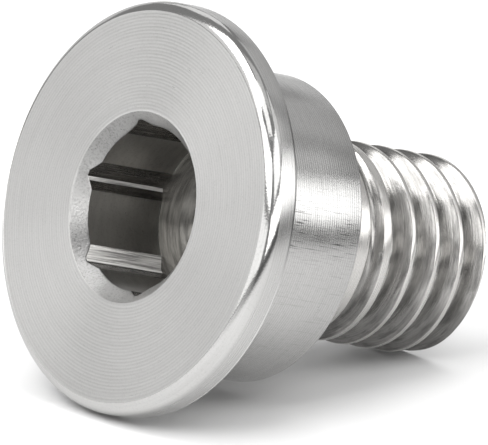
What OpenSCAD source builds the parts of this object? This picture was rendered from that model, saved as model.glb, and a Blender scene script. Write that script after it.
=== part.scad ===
/*
  Brake rotor screw: a shoulder screw turned from one bar of stainless steel.
  A wide thin head with a broached hex socket clamps a brake rotor, a ground
  shoulder centres it, and a metric thread runs the rest of the way to the tip.

  All sizes are millimetres. The screw lies as it comes to rest on a flat floor:
  the rear edge of the head's rim and the last thread crest touch z = 0.
  +X follows the screw from head to tip, +Z is up, and the origin is on the
  floor under the middle of the screw's bounding box.
*/

/* [Head] */
// Outside diameter of the head
head_d = 16; // [15:0.1:18]
// Thickness of the head, front face to seat
head_t = 1.3; // [1:0.05:2]
// Radius of the rounded front edge
head_round = 0.45; // [0.2:0.05:0.6]
// Small chamfer on the rear edge
head_rear_chamfer = 0.05; // [0.03:0.01:0.2]

/* [Shoulder] */
// Diameter of the shoulder that centres the rotor
shoulder_d = 12; // [10:0.1:13]
// Length of the shoulder under the head
shoulder_l = 5.2; // [4:0.1:8]
// Chamfer at the end of the shoulder
shoulder_chamfer = 0.1; // [0.05:0.01:0.3]

/* [Thread] */
// Outside diameter of the thread
thread_d = 7.9; // [7.8:0.05:8]
// Pitch of the thread
pitch = 1.25; // [1:0.05:1.25]
// Length from the end of the shoulder to the tip
thread_l = 8.5; // [7:0.05:12]
// Where the groove starts to open, measured from the shoulder
runout_start = 2.35; // [1.5:0.05:2.5]
// Turns the groove takes to reach its full depth
runout_turns = 0.55; // [0.5:0.05:1.2]
// Chamfer round the tip
tip_chamfer = 0.15; // [0.1:0.01:0.4]
// Turn of the thread about the screw's own axis, in degrees
thread_turn = 0; // [0:5:355]

/* [Socket] */
// Hex key size across the flats
socket_af = 6; // [5:0.5:6]
// Size across the corners of the hex, which the broach leaves a little blunt
corner_d = 6.81; // [6.6:0.01:6.9]
// Depth of the flats
socket_depth = 4.15; // [3:0.05:4.5]
// Diameter of the hole drilled before the hex is broached
pilot_d = 6.36; // [6:0.01:6.5]
// Diameter of the countersink at the socket's mouth
mouth_d = 7.4; // [7:0.1:8]
// Diameter of the drill point's inner cone
point_d = 4.5; // [3:0.1:5]
// Depth of the step between the flats' end and the inner cone
point_step = 0.3; // [0.1:0.05:0.5]
// Included angle of the inner cone
point_angle = 118; // [90:1:140]
// Turn of the hex about the screw's own axis, in degrees
socket_turn = -18.2; // [-30:0.1:30]

/* [Hidden] */

$fn = 96;

// axial stations, measured from the head's front face towards the tip
seat_z = head_t;
shoulder_z = head_t + shoulder_l;
tip_z = shoulder_z + thread_l;

head_r = head_d / 2;
shoulder_r = shoulder_d / 2;
thread_r = thread_d / 2;

// ISO metric thread form: 60 degree flanks, crest flat of an eighth of the
// pitch, and a root rounded a little deeper than the flat of a quarter pitch
sharp_height = pitch * sqrt(3) / 2;
groove_depth = sharp_height * 5 / 8;
crest_flat = pitch / 8;
root_flat = pitch / 4;
root_relief = sharp_height / 24;
groove_half = (pitch - crest_flat) / 2;

// the groove runs on a helix: one station of the grid every few degrees
steps = 48;
step_angle = 360 / steps;
// points across one groove
groove_pts = 5;
// the grid starts over a turn inside the shoulder, where the groove is closed
groove_phase = shoulder_z - 1.07 * pitch;
turns = ceil((tip_z - groove_phase) / pitch) + 1;
rows = groove_pts * turns;

flank_slope = groove_depth / (groove_half - root_flat / 2);

// resting pose: the floor's line touches the rim's rear edge and one of the last
// crests, which the tip's chamfer may trim
rim_contact_z = seat_z - head_rear_chamfer;
chamfer_z = tip_z - tip_chamfer;

// where crest number k begins along the screw's underside
function crest_z(k) = groove_phase + pitch * (k + 0.5 - thread_turn / 360) + groove_half;

// point of crest number k nearest the floor, as [height, radius]
function crest_contact(k) =
    let (
        begins = crest_z(k),
        trimmed = chamfer_z + (begins - chamfer_z) * flank_slope / (1 + flank_slope),
        z = min(tip_z, trimmed)
    )
    begins <= chamfer_z
        ? [min(begins + crest_flat, chamfer_z), thread_r]
        : [z, thread_r - max(z - chamfer_z, flank_slope * (begins - z))];

// slope of the line from the rim's rear edge to that point
function contact_slope(k) =
    (head_r - crest_contact(k)[1]) / (crest_contact(k)[0] - rim_contact_z);

last_crest = floor((tip_z - crest_z(0)) / pitch);
tip_drop = atan(min([for (k = [last_crest - 1:last_crest + 1]) contact_slope(k)]));
face_height = rim_contact_z * sin(tip_drop) + head_r * cos(tip_drop);
// ends of the lying screw along X, measured from the middle of its front face
low_x = head_round * (cos(tip_drop) - 1) - (head_r - head_round) * sin(tip_drop);
high_x = tip_z * cos(tip_drop) + (thread_r - tip_chamfer) * sin(tip_drop);

// share of the full groove depth reached at a given height of groove centre
function groove_share(z) =
    max(0, min(1, (z - shoulder_z - runout_start) / (runout_turns * pitch)));

// height of groove centre number t at angle step c
function groove_z(t, c) = groove_phase + pitch * (t + c / steps);

// half width of the groove at the crest, never quite nothing
function half_width(share) =
    max(0.1 * pitch, root_flat / 2 + (groove_half - root_flat / 2) * share);

// the five points across a groove, as [offset along the axis, radius]
function groove_point(j, share) =
    j == 0 ? [-half_width(share), thread_r] :
    j == 1 ? [-min(root_flat / 2, half_width(share) / 2), thread_r - groove_depth * share] :
    j == 2 ? [0, thread_r - (groove_depth + root_relief) * share] :
    j == 3 ? [min(root_flat / 2, half_width(share) / 2), thread_r - groove_depth * share] :
    [half_width(share), thread_r];

// point m of the surface line at angle step c
function surface_point(c, m) =
    let (
        t = floor(m / groove_pts),
        zc = groove_z(t, c),
        p = groove_point(m % groove_pts, groove_share(zc)),
        a = c * step_angle
    )
    [p[1] * cos(a), p[1] * sin(a), zc + p[0]];

// index of a surface point, where step number "steps" is step 0 one turn later
function at(c, m) = c == steps ? m + groove_pts : c * rows + m;

// Threaded shank as one closed helical surface, still unfinished at both ends
module thread_blank() {
    skin = [for (c = [0:steps - 1]) for (m = [0:rows - 1]) surface_point(c, m)];
    start_centre = len(skin);
    end_centre = start_centre + 1;
    points = concat(
        skin,
        [[0, 0, groove_z(0, steps / 2)]],
        [[0, 0, groove_z(turns - 1, steps / 2)]]
    );
    quads = [
        for (c = [0:steps - 1])
            for (m = [0:rows - 2 - (c == steps - 1 ? groove_pts : 0)])
                for (half = [0, 1])
                    half == 0
                        ? [at(c, m), at(c, m + 1), at(c + 1, m)]
                        : [at(c + 1, m), at(c, m + 1), at(c + 1, m + 1)]
    ];
    start_rim = concat(
        [for (c = [0:steps - 1]) at(c, 0)],
        [for (m = [groove_pts:-1:1]) at(0, m)]
    );
    end_rim = concat(
        [for (c = [0:steps - 1]) at(c, rows - 1)],
        [for (m = [rows - 2:-1:rows - 1 - groove_pts]) at(steps - 1, m)]
    );
    start_cap = [
        for (i = [0:len(start_rim) - 1])
            [start_centre, start_rim[i], start_rim[(i + 1) % len(start_rim)]]
    ];
    end_cap = [
        for (i = [0:len(end_rim) - 1])
            [end_centre, end_rim[(i + 1) % len(end_rim)], end_rim[i]]
    ];
    polyhedron(points = points, faces = concat(quads, start_cap, end_cap), convexity = 12);
}

// Shank trimmed flat at the tip, with the tip's chamfer
module shank() {
    intersection() {
        thread_blank();
        rotate_extrude()
            polygon([
                [0, shoulder_z - 0.5],
                [thread_r + 0.2, shoulder_z - 0.5],
                [thread_r + 0.2, tip_z - tip_chamfer - 0.2],
                [thread_r - tip_chamfer, tip_z],
                [0, tip_z]
            ]);
    }
}

// Outline of head and shoulder, turned about the axis
module body_outline() {
    difference() {
        polygon([
            [0, 0],
            [head_r, 0],
            [head_r, seat_z - head_rear_chamfer],
            [head_r - head_rear_chamfer, seat_z],
            [shoulder_r, seat_z],
            [shoulder_r, shoulder_z - shoulder_chamfer],
            [shoulder_r - shoulder_chamfer, shoulder_z],
            [0, shoulder_z]
        ]);
        difference() {
            translate([head_r - head_round, -1])
                square([head_round + 1, head_round + 1]);
            translate([head_r - head_round, head_round])
                circle(r = head_round);
        }
    }
}

// Drilled, countersunk and broached socket, as the space it takes
module socket() {
    pilot_r = pilot_d / 2;
    mouth_r = mouth_d / 2;
    point_r = point_d / 2;
    point_z = socket_depth + point_step;
    rotate_extrude()
        polygon([
            [0, -1],
            [mouth_r + 1, -1],
            [pilot_r, mouth_r - pilot_r],
            [pilot_r, socket_depth],
            [point_r, point_z],
            [0, point_z + point_r / tan(point_angle / 2)]
        ]);
    rotate([0, 0, socket_turn])
        translate([0, 0, -1])
            linear_extrude(socket_depth + 1)
                intersection() {
                    circle(d = socket_af / cos(30), $fn = 6);
                    rotate(30) circle(d = corner_d / cos(30), $fn = 6);
                }
}

// The whole screw about its own axis, front face at z = 0, tip along +Z
module turned_screw() {
    difference() {
        union() {
            rotate_extrude() body_outline();
            rotate([0, 0, thread_turn]) shank();
        }
        socket();
    }
}

// The screw as it rests on the floor
module screw() {
    color([0.72, 0.71, 0.69])
        translate([-(low_x + high_x) / 2, 0, face_height])
            rotate([0, 90 + tip_drop, 0])
                rotate([0, 0, 180])
                    turned_screw();
}

screw();
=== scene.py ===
"""Looks of the brake rotor screw: turned stainless steel, lying on a white studio floor.

The screw is one surface swept round its own axis, from the drill point in the hex
socket, out over the head, along the shoulder and the rolled thread to the tip.
Lengths in the classes are millimetres; meshes and lamps are placed in metres.
"""

import logging
import math
from dataclasses import dataclass, field
from enum import Enum
from typing import Callable, Sequence

import bmesh
import bpy
import numpy as np
from mathutils import Matrix, Vector


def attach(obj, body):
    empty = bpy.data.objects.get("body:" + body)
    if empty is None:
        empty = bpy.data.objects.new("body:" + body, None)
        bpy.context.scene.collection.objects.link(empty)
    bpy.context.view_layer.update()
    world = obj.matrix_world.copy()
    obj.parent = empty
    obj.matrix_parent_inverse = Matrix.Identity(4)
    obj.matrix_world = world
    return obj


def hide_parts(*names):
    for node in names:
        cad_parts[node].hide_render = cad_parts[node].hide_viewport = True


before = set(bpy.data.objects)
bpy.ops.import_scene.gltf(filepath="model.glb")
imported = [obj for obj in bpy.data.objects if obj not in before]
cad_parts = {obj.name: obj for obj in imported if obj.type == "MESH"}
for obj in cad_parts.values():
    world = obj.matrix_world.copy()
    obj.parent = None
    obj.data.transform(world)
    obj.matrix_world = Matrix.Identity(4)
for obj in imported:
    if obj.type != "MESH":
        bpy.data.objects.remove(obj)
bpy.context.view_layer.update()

LOG = logging.getLogger("brake_rotor_screw")
MM = 0.001
FULL_TURN = 2 * math.pi


class Region(Enum):
    """Stretches of the screw that carry a finish of their own, by material place."""

    DRILL_POINT = 0
    DRILLED_WALL = 1
    BROACHED_WALL = 2
    COUNTERSINK = 3
    FACE = 4
    EDGE = 5
    RIM = 6
    SEAT = 7
    SHOULDER = 8
    THREAD = 9
    TIP = 10
    BURNISHED_WALL = 11


class Lay(Enum):
    """Which way the tool marks run, and so which way the gloss spreads."""

    CONCENTRIC = "rings round the axis on a flat face"
    ROUND = "rings round the axis on a cylinder"
    NONE = "no direction"


@dataclass(frozen=True)
class RestPose:
    """Where the screw's own axis lies in the row frame.

    The local frame has its origin in the middle of the head's face, z towards the
    tip, x to the top of the lying screw and y to the side that faces the camera.
    """

    tip_drop: float = math.radians(16.981792)
    face_x: float = -6.615545
    face_height: float = 8.016266

    @property
    def axis(self) -> Vector:
        """Direction from the head to the tip."""
        return Vector((math.cos(self.tip_drop), 0.0, -math.sin(self.tip_drop)))

    @property
    def top(self) -> Vector:
        """Direction square to the axis that points most nearly up."""
        return Vector((math.sin(self.tip_drop), 0.0, math.cos(self.tip_drop)))

    @property
    def side(self) -> Vector:
        """Direction square to the axis that points to the camera's side."""
        return self.axis.cross(self.top)

    @property
    def origin(self) -> Vector:
        """Middle of the head's face, in metres."""
        return Vector((self.face_x * MM, 0.0, self.face_height * MM))

    def place(self, points: np.ndarray) -> np.ndarray:
        """Turns local points into row-frame points.

        Args:
            points: Array of local points in millimetres, one a row.

        Returns:
            The same points in metres in the row frame.
        """
        basis = np.array([self.top, self.side, self.axis], dtype=float)
        return points @ basis * MM + np.array(self.origin, dtype=float)


class Field:
    """A shader socket that can be used in plain Python sums."""

    def __init__(self, graph: "Graph", socket: bpy.types.NodeSocket) -> None:
        """Wraps a socket.

        Args:
            graph: The graph that the socket belongs to.
            socket: The output socket that gives the value.
        """
        self.graph = graph
        self.socket = socket

    def _math(self, operation: str, *values: "Field | float") -> "Field":
        """Adds a Math node.

        Args:
            operation: The node's operation.
            *values: Its inputs in order.

        Returns:
            The node's output.
        """
        return self.graph.add(
            "ShaderNodeMath", {"operation": operation}, dict(enumerate(values))
        )

    def __add__(self, other: "Field | float") -> "Field":
        """Sum."""
        return self._math("ADD", self, other)

    def __radd__(self, other: float) -> "Field":
        """Sum with a number on the left."""
        return self._math("ADD", other, self)

    def __sub__(self, other: "Field | float") -> "Field":
        """Difference."""
        return self._math("SUBTRACT", self, other)

    def __rsub__(self, other: float) -> "Field":
        """Difference with a number on the left."""
        return self._math("SUBTRACT", other, self)

    def __mul__(self, other: "Field | float") -> "Field":
        """Product."""
        return self._math("MULTIPLY", self, other)

    def __rmul__(self, other: float) -> "Field":
        """Product with a number on the left."""
        return self._math("MULTIPLY", other, self)

    def __truediv__(self, other: "Field | float") -> "Field":
        """Quotient."""
        return self._math("DIVIDE", self, other)

    def __pow__(self, other: float) -> "Field":
        """Power."""
        return self._math("POWER", self, other)

    def sine(self) -> "Field":
        """Sine of the value."""
        return self._math("SINE", self)

    def size(self) -> "Field":
        """Value without its sign."""
        return self._math("ABSOLUTE", self)

    def larger(self, other: "Field | float") -> "Field":
        """Larger of this value and another."""
        return self._math("MAXIMUM", self, other)

    def root(self) -> "Field":
        """Square root of the value."""
        return self._math("SQRT", self)

    def angle_to(self, other: "Field") -> "Field":
        """Angle of the point whose height is this value and whose width is the other."""
        return self._math("ARCTAN2", self, other)

    def ramp(self, low: float, high: float) -> "Field":
        """Rises smoothly from 0 to 1.

        Args:
            low: Value where the ramp leaves 0.
            high: Value where it reaches 1.

        Returns:
            The ramped value.
        """
        return self.graph.add(
            "ShaderNodeMapRange",
            {"interpolation_type": "SMOOTHSTEP"},
            {"Value": self, "From Min": low, "From Max": high},
        )


class Graph:
    """A node tree under construction."""

    def __init__(self, tree: bpy.types.NodeTree) -> None:
        """Empties the tree.

        Args:
            tree: The node tree to build in.
        """
        self.tree = tree
        self.tree.nodes.clear()

    def add(
        self,
        kind: str,
        settings: dict[str, object] | None = None,
        inputs: dict[int | str, object] | None = None,
        output: int | str = 0,
    ) -> Field:
        """Adds a node.

        Args:
            kind: The node's type name.
            settings: Properties of the node, set before its sockets.
            inputs: Values or fields for its input sockets, by number or name.
            output: Which output to hand back.

        Returns:
            The chosen output.
        """
        node = self.tree.nodes.new(kind)
        for name, value in (settings or {}).items():
            if name == "stops":
                self._set_stops(node.color_ramp, value)
            else:
                setattr(node, name, value)
        for key, value in (inputs or {}).items():
            if isinstance(value, Field):
                self.tree.links.new(value.socket, node.inputs[key])
            else:
                node.inputs[key].default_value = value
        return Field(self, node.outputs[output] if node.outputs else node.inputs[0])

    @staticmethod
    def _set_stops(
        ramp: bpy.types.ColorRamp, stops: Sequence[tuple[float, float]]
    ) -> None:
        """Writes grey stops into a colour ramp.

        Args:
            ramp: The ramp to fill.
            stops: Pairs of place and grey level.
        """
        while len(ramp.elements) < len(stops):
            ramp.elements.new(1.0)
        for element, (place, level) in zip(ramp.elements, stops):
            element.position = place
            element.color = (level, level, level, 1.0)

    def vector(self, value: Sequence[float]) -> Field:
        """A constant vector."""
        return self.add("ShaderNodeCombineXYZ", None, dict(enumerate(value)))

    def vector_math(
        self, operation: str, *values: object, output: int = 0, scale: Field | None = None
    ) -> Field:
        """Adds a Vector Math node.

        Args:
            operation: The node's operation.
            *values: Its inputs in order.
            output: Which output to hand back.
            scale: What a scaling multiplies by.

        Returns:
            The chosen output.
        """
        inputs: dict[int | str, object] = dict(enumerate(values))
        if scale is not None:
            inputs["Scale"] = scale
        return self.add("ShaderNodeVectorMath", {"operation": operation}, inputs, output)


@dataclass(frozen=True)
class ScrewPlace:
    """Shader coordinates along and round the screw, in millimetres and radians."""

    graph: Graph
    pose: RestPose

    def from_centre(self) -> Field:
        """Vector from the middle of the face, in the row frame, in metres."""
        here = self.graph.add("ShaderNodeTexCoord", output="Object")
        return self.graph.vector_math("SUBTRACT", here, tuple(self.pose.origin))

    def _part(self, direction: Vector) -> Field:
        """Length along one direction, in millimetres."""
        scaled = tuple(direction / MM)
        return self.graph.vector_math("DOT_PRODUCT", self.from_centre(), scaled, output=1)

    def along(self) -> Field:
        """Distance behind the face."""
        return self._part(self.pose.axis)

    def up(self) -> Field:
        """Distance to the top side of the axis."""
        return self._part(self.pose.top)

    def across(self) -> Field:
        """Distance to the camera side of the axis."""
        return self._part(self.pose.side)

    def radius(self) -> Field:
        """Distance from the axis."""
        up, across = self.up(), self.across()
        return (up * up + across * across).root()

    def turn(self) -> Field:
        """Angle round the axis, 0 on top and growing to the camera side."""
        return self.across().angle_to(self.up())

    def noise(self, parts: Sequence[Field], detail: float) -> Field:
        """Noise over three made-up coordinates.

        Args:
            parts: The three coordinates, in noise cells.
            detail: How many finer layers the noise has.

        Returns:
            A value round one half.
        """
        where = self.graph.add("ShaderNodeCombineXYZ", None, dict(enumerate(parts)))
        return self.graph.add(
            "ShaderNodeTexNoise",
            None,
            {"Vector": where, "Scale": 1.0, "Detail": detail, "Roughness": 0.6},
        )

    def streaks(self, along: float, round_: float) -> Field:
        """Noise drawn out round the axis, like the trace of a lathe tool.

        Args:
            along: Cells per millimetre along the profile.
            round_: Cells per radian round the axis.

        Returns:
            A value round one half.
        """
        turn = self.turn()
        profile = (self.along() + self.radius()) * along
        parts = (profile, turn.sine() * round_, (turn + math.pi / 2).sine() * round_)
        return self.noise(parts, 3.0)

    def grain(self, cells: float) -> Field:
        """Even noise without direction.

        Args:
            cells: Cells per millimetre.

        Returns:
            A value round one half.
        """
        return self.graph.add(
            "ShaderNodeTexNoise",
            None,
            {"Vector": self.from_centre(), "Scale": cells / MM, "Detail": 2.0},
        )


@dataclass(frozen=True)
class Scratches:
    """Fine dark scratch lines along the screw, in one stretch of its round.

    Attributes:
        middle: Angle round the axis where they are densest, in degrees.
        reach: Angle to either side over which they fade, in degrees.
        cells: Noise cells per radian, which sets how thin they are.
        run: Noise cells per millimetre along the screw.
        shade: How dark they are, 0 to 1.
    """

    middle: float
    reach: float
    cells: float = 90.0
    run: float = 0.35
    shade: float = 0.35

    def darkening(self, place: ScrewPlace) -> Field:
        """Builds the scratch lines.

        Args:
            place: Coordinates on the screw.

        Returns:
            How much darker the steel is, 0 where there is no scratch.
        """
        turn = place.turn() * (180 / math.pi)
        near = 1 - (turn - self.middle).size().ramp(0.3 * self.reach, self.reach)
        lines = place.noise(
            (place.along() * self.run, place.turn() * self.cells, place.along() * 0.0), 2.0
        )
        return lines.ramp(0.56, 0.7) * near * self.shade


@dataclass(frozen=True)
class PaintedLightBand:
    """A band of painted shade or painted highlight round one stretch of the screw.

    Attributes:
        along: Distance of the band's middle behind the face, in millimetres.
        half_width: Half its width, in millimetres.
        middle: Angle round the axis where it is strongest, in degrees.
        reach: Angle to either side over which it fades, in degrees.
        shade: How much painted shade it adds, 0 to 1, or below 0 for a painted highlight.
    """

    along: float
    half_width: float
    middle: float
    reach: float
    shade: float

    def darkening(self, place: ScrewPlace) -> Field:
        """Builds the band of painted shade or highlight.

        Args:
            place: Coordinates on the screw.

        Returns:
            How much darker the steel is painted, 0 away from the band.
        """
        turn = place.turn() * (180 / math.pi)
        near = 1 - (turn - self.middle).size().ramp(0.3 * self.reach, self.reach)
        apart = (place.along() - self.along).size()
        return (1 - apart.ramp(0.4 * self.half_width, self.half_width)) * near * self.shade


@dataclass(frozen=True)
class SteelFinish:
    """One machined finish of the screw's steel, with any painted light or shade it carries.

    Attributes:
        name: The material's name.
        lay: Which way the tool marks run.
        colour: Linear colour of the metal.
        metal: How much of the light it sends back as a mirror, 0 to 1.
        roughness: Mean roughness.
        spread: How much of the gloss goes across the tool marks, 0 to 1.
        mark_pitch: Distance between neighbouring tool marks, in millimetres.
        mark_slope: Slope of the regular marks' sides.
        mark_shade: How much darker the bottoms of the marks are, 0 to 1.
        streak_cells: Cells of the drawn-out streaks per millimetre and per radian.
        streak_slope: Slope of the streaks' sides.
        streak_shade: How much darker the darkest streaks are, 0 to 1.
        gloss_shift: How much the streaks change the roughness.
        stain: How much darker the dullest patches are, 0 to 1.
        grain_cells: Cells of the fine grain per millimetre.
        grain_slope: Slope of the grain.
        grain_shade: How much darker the darkest grains are, 0 to 1.
        scratches_and_painted_light: Scratches, and bands of painted shade or painted highlight,
            if it has any.
        crest_highlight_reach: Distances from the axis where the painted highlight on the
            crests begins and where it is full, in millimetres.
        crest_highlight_level: How bright the crests are painted, as a share of the colour.
        crest_dulling: How much rougher the crests are.
    """

    name: str
    lay: Lay = Lay.ROUND
    colour: tuple[float, float, float] = (0.66, 0.655, 0.645)
    metal: float = 1.0
    roughness: float = 0.3
    spread: float = 0.7
    mark_pitch: float = 0.12
    mark_slope: float = 0.0
    mark_shade: float = 0.0
    streak_cells: tuple[float, float] = (14.0, 2.0)
    streak_slope: float = 0.03
    streak_shade: float = 0.05
    gloss_shift: float = 0.06
    stain: float = 0.0
    grain_cells: float = 12.0
    grain_slope: float = 0.0
    grain_shade: float = 0.0
    scratches_and_painted_light: tuple[Scratches | PaintedLightBand, ...] = ()
    crest_highlight_reach: tuple[float, float] | None = None
    crest_highlight_level: float = 1.0
    crest_dulling: float = 0.0

    def material(self, pose: RestPose) -> bpy.types.Material:
        """Builds the finish as a material.

        Args:
            pose: Where the screw lies.

        Returns:
            The new material.
        """
        made = bpy.data.materials.new(self.name)
        made.use_nodes = True
        graph = Graph(made.node_tree)
        place = ScrewPlace(graph, pose)
        marks = ((place.along() + place.radius()) * (FULL_TURN / self.mark_pitch)).sine()
        streaks = place.streaks(*self.streak_cells)
        grain = place.grain(self.grain_cells)
        height = (
            marks * (self.mark_slope * self.mark_pitch / FULL_TURN)
            + streaks * (self.streak_slope / self.streak_cells[0])
            + grain * (self.grain_slope / self.grain_cells)
        )
        bump = graph.add(
            "ShaderNodeBump", None, {"Strength": 1.0, "Distance": MM, "Height": height}
        )
        light = (
            (1 - (marks + 1) * (self.mark_shade / 2))
            * (1 - streaks.ramp(0.35, 0.7) * self.streak_shade)
            * (1 - grain.ramp(0.5, 0.68) * self.grain_shade)
            * (1 - place.streaks(3.0, 3.0).ramp(0.45, 0.65) * self.stain)
        )
        # Scratches darken the steel; painted light bands darken it as painted shade or, below 0,
        # brighten it as a painted highlight.
        for group in self.scratches_and_painted_light:
            light = light * (1 - group.darkening(place))
        roughness = (streaks - 0.5) * (2 * self.gloss_shift) + self.roughness
        # Painted highlight: the crests are painted brighter, and made a little rougher.
        if self.crest_highlight_reach:
            crest = place.radius().ramp(*self.crest_highlight_reach)
            light = light + (self.crest_highlight_level - light) * crest
            roughness = roughness + crest * self.crest_dulling
        inputs: dict[int | str, object] = {
            "Metallic": self.metal,
            "Base Color": graph.vector_math("SCALE", self.colour, scale=light),
            "Roughness": roughness,
            "Normal": bump,
        }
        if self.lay is not Lay.NONE:
            inputs["Anisotropic"] = self.spread
            inputs["Tangent"] = (
                place.from_centre()
                if self.lay is Lay.CONCENTRIC
                else graph.vector(pose.axis)
            )
        shader = graph.add("ShaderNodeBsdfPrincipled", None, inputs)
        graph.add("ShaderNodeOutputMaterial", None, {"Surface": shader})
        return made


FINISHES: dict[Region, SteelFinish] = {
    Region.DRILL_POINT: SteelFinish(
        "drill_point_steel",
        lay=Lay.CONCENTRIC,
        # Painted shade: the socket's bottom is coloured nearly black.
        colour=(0.15, 0.145, 0.135),
        roughness=0.25,
        spread=0.6,
        streak_shade=0.5,
    ),
    Region.DRILLED_WALL: SteelFinish(
        "drilled_steel",
        colour=(0.72, 0.71, 0.69),
        roughness=0.3,
        spread=0.3,
        streak_cells=(3.0, 3.0),
        streak_slope=0.01,
        streak_shade=0.12,
        grain_shade=0.1,
    ),
    # Painted shade: the broached walls are a darker copy of the steel.
    Region.BROACHED_WALL: SteelFinish(
        "broached_steel",
        lay=Lay.NONE,
        colour=(0.42, 0.41, 0.395),
        roughness=0.18,
        streak_cells=(0.4, 40.0),
        streak_slope=0.02,
        streak_shade=0.6,
        gloss_shift=0.1,
    ),
    # Painted light: a lighter, less metallic copy of the broached steel for the lit stretches of
    # wall.
    Region.BURNISHED_WALL: SteelFinish(
        "painted_light_broached_steel",
        lay=Lay.NONE,
        colour=(0.92, 0.905, 0.88),
        metal=0.35,
        roughness=0.25,
        streak_cells=(0.4, 45.0),
        streak_slope=0.03,
        streak_shade=0.75,
        gloss_shift=0.1,
    ),
    Region.COUNTERSINK: SteelFinish(
        "countersunk_steel",
        lay=Lay.CONCENTRIC,
        colour=(0.68, 0.675, 0.665),
        roughness=0.34,
        spread=0.6,
        stain=0.12,
        grain_slope=0.15,
        grain_shade=0.2,
        scratches_and_painted_light=(
            Scratches(-45.0, 55.0, 60.0, 14.0, 0.4),
            Scratches(-135.0, 45.0, 60.0, 14.0, 0.5),
            # Painted shade: three wide bands darken the cone's top-left, bottom-left and right
            # side, leaving its left side, whose colour is set high, bright.
            PaintedLightBand(0.25, 2.0, -40.0, 52.0, 0.46),
            PaintedLightBand(0.25, 2.0, -138.0, 42.0, 0.62),
            PaintedLightBand(0.25, 2.0, 85.0, 80.0, 0.3),
        ),
    ),
    Region.FACE: SteelFinish(
        "faced_steel",
        lay=Lay.CONCENTRIC,
        colour=(0.65, 0.645, 0.635),
        roughness=0.3,
        spread=0.9,
        mark_pitch=0.13,
        mark_slope=0.06,
        mark_shade=0.1,
        streak_shade=0.06,
        grain_cells=16.0,
        grain_shade=0.08,
    ),
    Region.EDGE: SteelFinish(
        "rounded_edge_steel", roughness=0.11, spread=0.2, grain_slope=0.02, grain_shade=0.05
    ),
    Region.RIM: SteelFinish(
        "brushed_rim_steel",
        roughness=0.26,
        spread=0.7,
        mark_pitch=0.11,
        mark_shade=0.08,
        scratches_and_painted_light=(
            # Painted shade and highlight along the rim's rear edge: a dark line on the camera
            # side and a lighter line further round stand in for the edge's dark and bright
            # reflections.
            PaintedLightBand(1.235, 0.07, 71.0, 30.0, 0.7),
            PaintedLightBand(1.235, 0.07, 128.0, 40.0, -0.3),
        ),
    ),
    Region.SEAT: SteelFinish("seat_steel", lay=Lay.CONCENTRIC, roughness=0.35),
    Region.SHOULDER: SteelFinish(
        "ground_shoulder_steel",
        roughness=0.25,
        spread=0.75,
        mark_pitch=0.11,
        mark_slope=0.05,
        mark_shade=0.14,
        grain_cells=9.0,
        grain_shade=0.06,
        scratches_and_painted_light=(
            Scratches(82.0, 13.0, 110.0, 0.8, 0.75),
            Scratches(80.0, 22.0, 110.0, 1.0, 0.25),
            Scratches(112.0, 42.0, 60.0, 0.6, 0.15),
        ),
    ),
    Region.THREAD: SteelFinish(
        "threaded_steel",
        colour=(0.5, 0.49, 0.475),
        roughness=0.2,
        spread=0.4,
        streak_slope=0.05,
        streak_shade=0.3,
        stain=0.35,
        grain_cells=18.0,
        grain_slope=0.04,
        grain_shade=0.12,
        # Painted highlight along the crests, half as bright again as the darker thread steel.
        crest_highlight_reach=(3.905, 3.94),
        crest_highlight_level=1.5,
        crest_dulling=0.08,
    ),
    Region.TIP: SteelFinish("tip_steel", lay=Lay.CONCENTRIC, roughness=0.35),
}


@dataclass
class SocketForm:
    """Countersunk, drilled and broached hex socket."""

    across_flats: float = 6.0
    corner_trim: float = 0.058
    pilot_r: float = 3.18
    mouth_r: float = 3.7
    depth: float = 4.15
    point_r: float = 2.25
    point_step: float = 0.3
    point_angle: float = math.radians(118)
    turn: float = math.radians(-18.2)
    torn_side: float = math.radians(-39.4)
    # Stretches of cut wall that get painted light, per corner: the corner's angle and where the
    # stretch starts and ends beside it.
    bright_sides: tuple[tuple[float, float, float], ...] = (
        (math.radians(-120), math.radians(-1), math.radians(16)),
        (math.radians(-60), math.radians(-4), math.radians(-2.6)),
    )
    lip_soft: float = 0.025
    mouth_soft: float = 0.03
    ledge: float = 0.004

    def special_angles(self) -> list[float]:
        """Angles at which the wall bends: corner trims and the ends of the drilled arcs.

        Returns:
            Angles round the axis, in radians from 0 to a full turn.
        """
        corner_r = self.across_flats / math.sqrt(3)
        trim = math.atan(math.sqrt(3) * self.corner_trim / (corner_r - self.corner_trim))
        arc = math.acos(self.across_flats / 2 / (self.pilot_r + self.ledge))
        offsets = [-trim, 0.0, trim]
        for flat in (-math.pi / 6, math.pi / 6):
            offsets += [flat - arc, flat + arc]
        corners = [self.turn + k * math.pi / 3 for k in range(6)]
        return sorted({round((c + o) % FULL_TURN, 9) for c in corners for o in offsets})

    def wall_radius(self, angles: np.ndarray) -> np.ndarray:
        """Distance of the socket's wall from the axis.

        Args:
            angles: Angles round the axis.

        Returns:
            The radius at each angle.
        """
        sixth = math.pi / 3
        off = (angles - self.turn + sixth / 2) % sixth - sixth / 2
        flat = self.across_flats / 2 / np.cos(np.abs(off) - sixth / 2)
        corner = (self.across_flats / math.sqrt(3) - self.corner_trim) / np.cos(off)
        wall = np.maximum(np.minimum(flat, corner), self.pilot_r + self.ledge)
        beside = (angles - self.torn_side + math.pi) % FULL_TURN - math.pi
        torn = (beside > 0) & (beside < self.turn - self.torn_side)
        bare = self.pilot_r / np.cos(np.where(torn, beside, 0.0))
        return np.where(torn, np.maximum(wall, bare), wall)

    def painted_light_stretches(self, angles: np.ndarray) -> np.ndarray:
        """Finds the stretches of cut wall that get painted light.

        Args:
            angles: Angles round the axis.

        Returns:
            True at each angle that lies in a bright stretch.
        """
        bright = np.zeros(len(angles), dtype=bool)
        for corner, start, end in self.bright_sides:
            beside = (angles - self.turn - corner + math.pi) % FULL_TURN - math.pi
            bright |= (beside > start) & (beside < end)
        return bright


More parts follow.
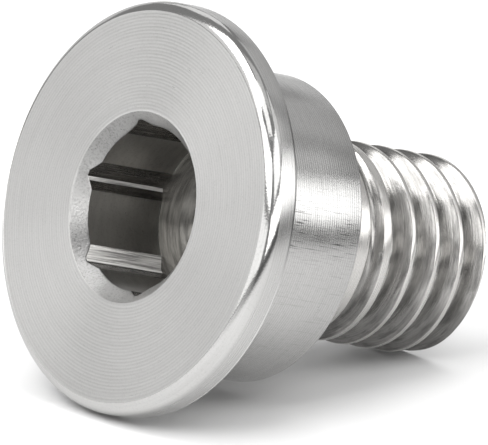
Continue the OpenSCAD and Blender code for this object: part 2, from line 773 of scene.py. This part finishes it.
@dataclass
class ThreadForm:
    """Right-hand metric thread that runs out under the shoulder."""

    outer_r: float = 3.95
    pitch: float = 1.25
    groove_at: float = 5.1625
    root_flat: float = 1.25 / 4
    depth: float = 1.25 * math.sqrt(3) / 2 * 5 / 8
    relief: float = 0.045
    crest_soft: float = 0.022
    flank_slope: float = math.sqrt(3)
    opens_at: float = 8.85
    opens_over: float = 0.69
    early_shift: float = 0.1
    early_width: float = 0.09
    chamfer_r: float = 3.78
    tip_z: float = 14.975
    offsets: tuple[float, ...] = (
        -0.5,
        -0.46,
        -0.43,
        -0.40,
        -0.34,
        -0.25,
        -0.17,
        -0.11,
        -0.06,
        0.0,
        0.06,
        0.11,
        0.17,
        0.25,
        0.34,
        0.40,
        0.43,
        0.46,
    )

    def radius(self, z: np.ndarray, angles: np.ndarray) -> np.ndarray:
        """Distance of the threaded surface from the axis.

        Args:
            z: Distances behind the face.
            angles: Angles round the axis, one for each z.

        Returns:
            The radius at each point.
        """
        start = self.groove_at + self.pitch * angles / FULL_TURN
        off = (z - start + self.pitch / 2) % self.pitch - self.pitch / 2
        share = np.clip((z - off - self.opens_at) / self.opens_over, 0.0, 1.0)
        off = np.abs(off + self.early_shift * (1 - share))
        off = np.maximum(off - self.early_width * (1 - share), 0.0)
        sharp = self.outer_r - self.depth * share - self.flank_slope * self.root_flat / 2
        soft = self.root_flat / 2 - self.relief / self.flank_slope
        groove = sharp + self.flank_slope * np.sqrt(off**2 + soft**2)
        gap = self.outer_r - groove
        crest = (self.outer_r + groove) / 2 - np.sqrt(gap**2 / 4 + self.crest_soft**2)
        cone = self.chamfer_r + (self.tip_z - z)
        return np.minimum(crest, cone)

    def rows(self, angles: np.ndarray, low: float) -> list[tuple[np.ndarray, np.ndarray]]:
        """Grid rows that follow the helix, held between the neck and the tip.

        Args:
            angles: Angles of the columns, the last a full turn after the first.
            low: Where the rows start, behind the face.

        Returns:
            For each row its distances behind the face and its radii.
        """
        first = math.floor((low - self.groove_at) / self.pitch) - 1
        last = math.ceil((self.tip_z - self.groove_at) / self.pitch) + 1
        made = []
        for number in range(first, last + 1):
            for offset in self.offsets:
                z = self.groove_at + self.pitch * (number + offset + angles / FULL_TURN)
                z = np.clip(z, low, self.tip_z)
                made.append((z, self.radius(z, angles)))
        return made


@dataclass
class ScrewBody:
    """The whole screw as one closed surface."""

    pose: RestPose = field(default_factory=RestPose)
    socket: SocketForm = field(default_factory=SocketForm)
    thread: ThreadForm = field(default_factory=ThreadForm)
    head_r: float = 7.9985
    head_t: float = 1.3
    edge_round: float = 0.44
    edge_break: float = math.radians(12)
    rear_chamfer: float = 0.05
    shoulder_r: float = 6.0
    shoulder_end: float = 6.5
    end_chamfer: float = 0.1
    neck_low: float = 8.2
    base_columns: int = 300
    round_steps: int = 20

    def __post_init__(self) -> None:
        """Lays out the columns and empties the grid."""
        even = np.arange(self.base_columns) * FULL_TURN / self.base_columns
        special = np.array(self.socket.special_angles())
        near = np.abs(even[:, None] - special[None, :]).min(axis=1)
        kept = even[near > 0.3 * FULL_TURN / self.base_columns]
        kept = kept if kept[0] == 0.0 else np.concatenate([[0.0], kept])
        self.angles = np.concatenate([np.unique(np.concatenate([kept, special])), [FULL_TURN]])
        self.cosine, self.sine = np.cos(self.angles), np.sin(self.angles)
        self.cosine[-1], self.sine[-1] = 1.0, 0.0
        self.grid: list[np.ndarray] = []
        self.regions: list[np.ndarray] = []

    def _row(
        self, z: float | np.ndarray, r: float | np.ndarray, region: Region | np.ndarray
    ) -> None:
        """Adds a row of points; the strip before it belongs to the region.

        Args:
            z: Distance behind the face, one value or one a column.
            r: Distance from the axis, one value or one a column.
            region: Finish of the strip between the last row and this one, as one
                region or as one region number a column.
        """
        z, r = z + 0 * self.angles, r + 0 * self.angles
        self.grid.append(np.stack([r * self.cosine, r * self.sine, z], axis=1))
        if isinstance(region, Region):
            region = np.full(len(self.angles), region.value)
        self.regions.append(np.maximum(region[:-1], region[1:]))

    def _socket_rows(self) -> None:
        """Rows from the drill point up the walls and out over the countersink."""
        form = self.socket
        wall = form.wall_radius(self.angles)
        step_z = form.depth + form.point_step
        apex = step_z + form.point_r / math.tan(form.point_angle / 2)
        for share in (0.0, 0.35, 0.7, 1.0):
            self._row(apex + (step_z - apex) * share, form.point_r * share, Region.DRILL_POINT)
        for share in (0.04, 0.5, 1.0):
            r = form.point_r + (form.pilot_r - form.point_r) * share
            self._row(step_z + (form.depth - step_z) * share, r, Region.DRILL_POINT)
        self._row(form.depth, wall - form.ledge / 2, Region.DRILL_POINT)
        cut = wall > form.pilot_r + 1.5 * form.ledge
        sides = np.where(cut, Region.BROACHED_WALL.value, Region.DRILLED_WALL.value)
        # Painted light: the lit stretches of the cut wall get a lighter copy of the broached
        # steel.
        sides[cut & form.painted_light_stretches(self.angles)] = Region.BURNISHED_WALL.value
        lip_z = form.mouth_r - wall
        for share in (0.0, 0.02, 0.25, 0.5, 0.75, 0.98):
            z = form.depth + (lip_z + form.lip_soft - form.depth) * share
            self._row(z, wall, sides)
        soft = form.lip_soft
        self._row(lip_z + soft, wall, sides)
        self._row(lip_z + 0.2 * soft, wall + 0.2 * soft, Region.COUNTERSINK)
        reach = form.mouth_r - form.mouth_soft
        for share in (0.04, 0.5, 0.96):
            r = wall + soft + (reach - wall - soft) * share
            self._row(form.mouth_r - r, r, Region.COUNTERSINK)
        self._row(form.mouth_soft * 0.3, form.mouth_r - form.mouth_soft * 0.2, Region.COUNTERSINK)
        self._row(0.0, form.mouth_r + form.mouth_soft, Region.FACE)

    def _head_rows(self) -> None:
        """Rows over the face, the rounded edge, the rim and the seat."""
        flat_r = self.head_r - self.edge_round
        bend_r = self.edge_round / (1 - math.sin(self.edge_break))
        depth = bend_r * math.cos(self.edge_break)
        inner = self.socket.mouth_r + 2 * self.socket.mouth_soft
        for share in np.linspace(0.0, 1.0, 6):
            self._row(0.0, inner + (flat_r - 0.015 - inner) * share, Region.FACE)
        for step in range(self.round_steps + 1):
            part = step / self.round_steps
            angle = self.edge_break + (math.pi / 2 - self.edge_break) * part
            self._row(
                depth - bend_r * math.cos(angle),
                self.head_r - bend_r * (1 - math.sin(angle)),
                Region.EDGE if step else Region.FACE,
            )
        rear = self.head_t - self.rear_chamfer
        soft = self.rear_chamfer * 0.2
        self._row(depth + 0.02, self.head_r, Region.RIM)
        self._row(rear - soft, self.head_r, Region.RIM)
        self._row(rear + 0.7 * soft, self.head_r - 0.4 * soft, Region.RIM)
        self._row(self.head_t - soft, self.head_r - self.rear_chamfer + soft, Region.RIM)
        self._row(self.head_t, self.head_r - self.rear_chamfer - soft, Region.RIM)
        self._row(self.head_t, self.shoulder_r + 0.02, Region.SEAT)
        self._row(self.head_t, self.shoulder_r, Region.SEAT)

    def _shoulder_rows(self) -> None:
        """Rows along the shoulder and in over its end."""
        end, soft = self.shoulder_end, self.end_chamfer * 0.2
        start = end - self.end_chamfer
        self._row(self.head_t + 0.02, self.shoulder_r, Region.SHOULDER)
        for share in (0.33, 0.66, 1.0):
            z = self.head_t + (start - soft - self.head_t) * share
            self._row(z, self.shoulder_r, Region.SHOULDER)
        self._row(start + 0.7 * soft, self.shoulder_r - 0.4 * soft, Region.SHOULDER)
        self._row(end - soft, self.shoulder_r - self.end_chamfer + soft, Region.SHOULDER)
        self._row(end, self.shoulder_r - self.end_chamfer - soft, Region.SHOULDER)
        self._row(end, self.thread.outer_r + 0.02, Region.SEAT)

    def _thread_rows(self) -> None:
        """Rows along the neck and the thread and in over the tip."""
        z = np.full_like(self.angles, self.neck_low)
        neck = self.thread.radius(z, self.angles)
        self._row(self.shoulder_end, neck, Region.SEAT)
        self._row(self.shoulder_end + 0.02, neck, Region.THREAD)
        for row_z, row_r in self.thread.rows(self.angles, self.neck_low):
            self._row(row_z, row_r, Region.THREAD)
        tip = self.thread.radius(z * 0 + self.thread.tip_z, self.angles)
        for share in (0.985, 0.6, 0.25, 0.0):
            self._row(self.thread.tip_z, tip * share, Region.TIP)

    def build(self, name: str) -> bpy.types.Object:
        """Makes the screw's mesh and dresses it.

        Args:
            name: Name of the new object.

        Returns:
            The screw, placed in the row frame.
        """
        self._socket_rows()
        self._head_rows()
        self._shoulder_rows()
        self._thread_rows()
        mesh = self._mesh(name)
        for region in Region:
            mesh.materials.append(FINISHES[region].material(self.pose))
        made = bpy.data.objects.new(name, mesh)
        bpy.context.scene.collection.objects.link(made)
        return made

    def _mesh(self, name: str) -> bpy.types.Mesh:
        """Joins the rows into one closed mesh.

        Args:
            name: Name of the mesh.

        Returns:
            The mesh, its faces marked with their regions.
        """
        columns = len(self.angles)
        points = self.pose.place(np.concatenate(self.grid))
        corner = np.arange(columns - 1)
        quads, places = [], []
        for row in range(len(self.grid) - 1):
            low, high = row * columns + corner, (row + 1) * columns + corner
            quads.append(np.stack([low, high, high + 1, low + 1], axis=1))
            places.append(self.regions[row + 1])
        mesh = bpy.data.meshes.new(name)
        mesh.from_pydata(points.tolist(), [], np.concatenate(quads).tolist())
        mesh.polygons.foreach_set("material_index", np.concatenate(places))
        shape = bmesh.new()
        shape.from_mesh(mesh)
        bmesh.ops.remove_doubles(shape, verts=shape.verts, dist=2e-4 * MM)
        bmesh.ops.recalc_face_normals(shape, faces=shape.faces)
        open_edges = sum(not edge.is_manifold for edge in shape.edges)
        LOG.info("%s: %d faces, %d open edges", name, len(shape.faces), open_edges)
        shape.to_mesh(mesh)
        shape.free()
        mesh.polygons.foreach_set("use_smooth", [True] * len(mesh.polygons))
        mesh.set_sharp_from_angle(angle=math.radians(35))
        return mesh


@dataclass(frozen=True)
class Softbox:
    """A soft rectangular studio lamp aimed at the screw.

    Attributes:
        name: The lamp's name.
        turn: Direction from the screw to the lamp on the floor, in degrees from +X to +Y.
        rise: Height of the lamp over the floor seen from the screw, in degrees.
        width: Width of the lamp in millimetres.
        height: Height of the lamp in millimetres.
        glow: Radiance of the lamp's face, where 1 renders white.
        distance: Distance of the lamp in millimetres.
        mirrored: Whether the steel shows the lamp's reflection.
    """

    name: str
    turn: float
    rise: float
    width: float
    height: float
    glow: float
    distance: float = 260.0
    mirrored: bool = True

    def build(self, target: Vector) -> bpy.types.Object:
        """Makes the lamp.

        Args:
            target: Point the lamp faces, in metres.

        Returns:
            The lamp.
        """
        light = bpy.data.lights.new(self.name, "AREA")
        light.shape = "RECTANGLE"
        light.size, light.size_y = self.width * MM, self.height * MM
        light.energy = self.glow * math.pi * self.width * self.height * MM * MM
        lamp = bpy.data.objects.new(self.name, light)
        turn, rise = math.radians(self.turn), math.radians(self.rise)
        flat = math.cos(rise)
        towards = Vector((flat * math.cos(turn), flat * math.sin(turn), math.sin(rise)))
        lamp.location = target + towards * self.distance * MM
        lamp.visible_camera = False
        lamp.visible_glossy = self.mirrored
        lamp.rotation_mode = "QUATERNION"
        lamp.rotation_quaternion = towards.to_track_quat("Z", "Y")
        bpy.context.scene.collection.objects.link(lamp)
        return lamp


@dataclass(frozen=True)
class PaintedMirrorZone:
    """Painted reflection: how bright one zone of the floor is painted for the steel's mirror
    alone.

    Attributes:
        middle: Mean glow round the screw.
        swing: How much brighter the bright side is.
        turn: Direction of the bright side, in degrees from +X to +Y.
    """

    middle: float
    swing: float
    turn: float


@dataclass
class Studio:
    """White floor, even surroundings, softboxes and the camera."""

    target: Vector = field(default_factory=lambda: Vector((-3.381489, -2.797498, 7.433890)) * MM)
    camera_at: Vector = field(
        default_factory=lambda: Vector((-257.065798, -319.080714, 117.968302)) * MM
    )
    lens: float = 811.475410
    sensor: float = 36.0
    floor_size: float = 1200.0
    floor_shade: float = 0.53
    painted_mirror_near: PaintedMirrorZone = PaintedMirrorZone(0.59, 0.15, 210.0)
    painted_mirror_far: PaintedMirrorZone = PaintedMirrorZone(0.5, 0.75, 95.0)
    painted_mirror_reach: tuple[float, float] = (27.0, 62.0)
    painted_mirror_glow: float = 0.12
    surround: float = 0.285
    boxes: tuple[Softbox, ...] = (
        Softbox("back_low", 60.0, 11.0, 330.0, 90.0, 0.45),
        Softbox("back_middle", 55.0, 38.0, 130.0, 110.0, 0.7),
        Softbox("back_right", 10.0, 34.0, 130.0, 110.0, 0.3),
        Softbox("left_end", 120.0, 11.0, 110.0, 90.0, 0.7),
        Softbox("left_low", 145.0, 11.0, 100.0, 90.0, 0.8),
        Softbox("left_middle", 140.0, 38.0, 130.0, 110.0, 0.65),
        Softbox("front_left_low", 190.0, 11.0, 330.0, 90.0, 1.1),
        Softbox("front_left_middle", 192.0, 38.0, 265.0, 110.0, 2.0),
        Softbox("front_right_low", 262.0, 11.0, 210.0, 90.0, 2.2),
        Softbox("front_right_middle", 276.0, 38.0, 260.0, 110.0, 1.4),
        Softbox("right_low", 312.0, 11.0, 240.0, 90.0, 1.9),
        Softbox("right_middle", 325.0, 38.0, 130.0, 110.0, 0.6),
        Softbox("high_left", 150.0, 68.0, 185.0, 185.0, 3.2),
        Softbox("high_front", 240.0, 70.0, 130.0, 130.0, 1.2),
        Softbox("high_right", 330.0, 70.0, 130.0, 130.0, 0.4),
        Softbox("floor_right", 15.0, 55.0, 140.0, 140.0, 5.6, mirrored=False),
        Softbox("floor_back", 105.0, 35.0, 140.0, 140.0, 5.2, mirrored=False),
        Softbox("floor_left", 200.0, 45.0, 140.0, 140.0, 7.6, mirrored=False),
        Softbox("floor_front", 275.0, 50.0, 140.0, 140.0, 5.8, mirrored=False),
    )

    def build(self) -> None:
        """Builds floor, surroundings, lamps and camera in order."""
        self._floor()
        self._surround()
        for box in self.boxes:
            box.build(self.target)
            LOG.info("lamp %s", box.name)
        self._camera()

    def _floor(self) -> bpy.types.Object:
        """A wide white floor that keeps the screw's shadow, with a painted reflection.

        Returns:
            The floor.
        """
        half = self.floor_size * MM / 2
        mesh = bpy.data.meshes.new("studio_floor")
        corners = [(-half, -half, 0.0), (half, -half, 0.0), (half, half, 0.0), (-half, half, 0.0)]
        mesh.from_pydata(corners, [], [(0, 1, 2, 3)])
        made = bpy.data.materials.new("white_floor")
        made.use_nodes = True
        graph = Graph(made.node_tree)
        # Painted reflection: glossy rays alone see the floor scaled by a level that changes round
        # the screw and with distance, plus a glow, though the floor is no lamp.
        mirrored = graph.add("ShaderNodeLightPath", output="Is Glossy Ray")
        here = graph.add("ShaderNodeTexCoord", output="Object")
        reach = graph.vector_math("LENGTH", here, output=1)
        near, far = (
            self._swing(graph, here, zone) / reach + zone.middle
            for zone in (self.painted_mirror_near, self.painted_mirror_far)
        )
        inner, outer = (limit * MM for limit in self.painted_mirror_reach)
        level = near + (far.larger(0.0) - near) * reach.ramp(inner, outer)
        shade = (mirrored * (level - 1) + 1) * self.floor_shade
        paper = graph.add("ShaderNodeBsdfDiffuse", None, {"Color": shade})
        glow = graph.add(
            "ShaderNodeEmission", None, {"Strength": mirrored * self.painted_mirror_glow}
        )
        both = graph.add("ShaderNodeAddShader", None, {0: paper, 1: glow})
        graph.add("ShaderNodeOutputMaterial", None, {"Surface": both})
        mesh.materials.append(made)
        floor = bpy.data.objects.new("studio_floor", mesh)
        bpy.context.scene.collection.objects.link(floor)
        return floor

    @staticmethod
    def _swing(graph: Graph, here: Field, zone: "PaintedMirrorZone") -> Field:
        """Rise of a zone's glow towards its bright side, times the distance.

        Args:
            graph: The floor's node tree.
            here: Point on the floor.
            zone: The zone of the floor.

        Returns:
            The part of the glow that changes round the screw.
        """
        turn = math.radians(zone.turn)
        bright = (zone.swing * math.cos(turn), zone.swing * math.sin(turn), 0.0)
        return graph.vector_math("DOT_PRODUCT", here, bright, output=1)

    def _surround(self) -> None:
        """Even pale surroundings, pure white where the camera looks past the floor."""
        world = bpy.data.worlds.new("studio_surround")
        world.use_nodes = True
        graph = Graph(world.node_tree)
        seen = graph.add("ShaderNodeLightPath", output="Is Camera Ray")
        level = seen * (1 - self.surround) + self.surround
        glow = graph.add("ShaderNodeBackground", None, {"Strength": level})
        glow.socket.node.inputs["Color"].default_value = (1.0, 1.0, 1.0, 1.0)
        graph.add("ShaderNodeOutputWorld", None, {"Surface": glow})
        bpy.context.scene.world = world

    def _camera(self) -> None:
        """The long-lens camera that looks down on the head and its socket."""
        data = bpy.data.cameras.new("studio_camera")
        data.lens, data.sensor_width = self.lens, self.sensor
        data.clip_start, data.clip_end = 0.01, 10.0
        camera = bpy.data.objects.new("studio_camera", data)
        camera.location = self.camera_at
        camera.rotation_mode = "QUATERNION"
        camera.rotation_quaternion = (self.camera_at - self.target).to_track_quat("Z", "Y")
        bpy.context.scene.collection.objects.link(camera)
        bpy.context.scene.camera = camera


def main() -> None:
    """Builds the screw and the studio in order."""
    logging.basicConfig(level=logging.INFO, format="%(name)s: %(message)s")
    bpy.context.scene.view_settings.view_transform = "Standard"
    screw = ScrewBody().build("dressed_screw")
    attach(screw, "root")
    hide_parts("screw")
    LOG.info("screw built")
    Studio().build()
    LOG.info("studio built")


if __name__ == "__main__":
    main()
